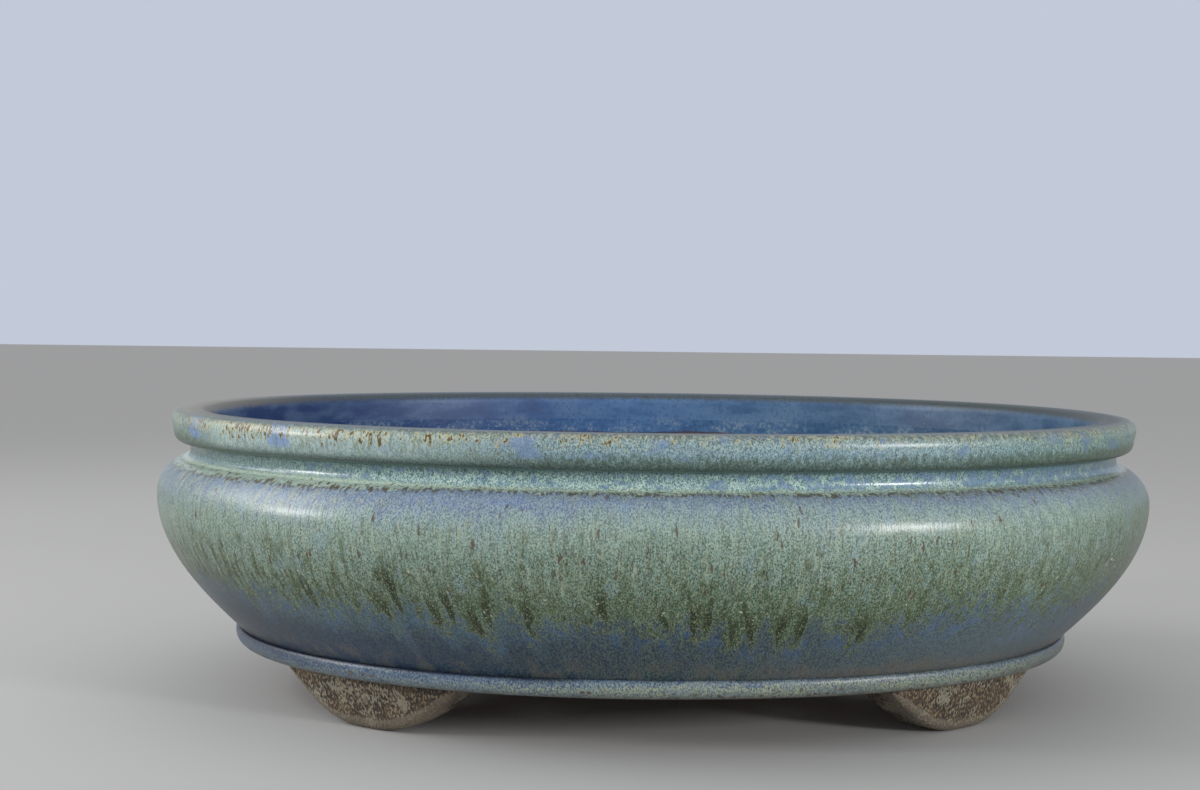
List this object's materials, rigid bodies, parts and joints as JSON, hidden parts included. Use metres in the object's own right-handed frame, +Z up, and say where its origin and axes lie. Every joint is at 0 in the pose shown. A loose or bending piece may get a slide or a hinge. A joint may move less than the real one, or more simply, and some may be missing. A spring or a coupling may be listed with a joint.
{
  "type": "bonsai pot",
  "caption": "Oval glazed stoneware bonsai pot: heavy lip, hollow neck, bulging belly, foot band and half-moon feet, with drain and tie-wire holes in the floor.",
  "frame": {"origin": "on the ground, under the middle of the pot", "axes": "+X along the pot's length, +Y from its front to its back, +Z up"},
  "size_m": [0.36, 0.3, 0.1018],
  "materials": {
    "lip_glaze": "satin running glaze, pale green and blue, broken to rust brown on the edge",
    "neck_glaze": "satin mottled glaze, pale turquoise",
    "belly_glaze": "satin running glaze, blue and celadon with olive drips",
    "band_glaze": "satin mottled glaze, grey blue with brown specks",
    "bare_clay": "unglazed brown stoneware",
    "foot_clay": "unglazed brown-grey stoneware with pale lime flecks"
  },
  "bodies": {
    "root": {"lip": "lip_glaze", "neck_band": "neck_glaze", "belly_wall": "belly_glaze", "foot_band": "band_glaze", "floor_slab": "bare_clay", "foot_front_left": "foot_clay", "foot_front_right": "foot_clay", "foot_back_left": "foot_clay", "foot_back_right": "foot_clay"}
  },
  "joints": []
}
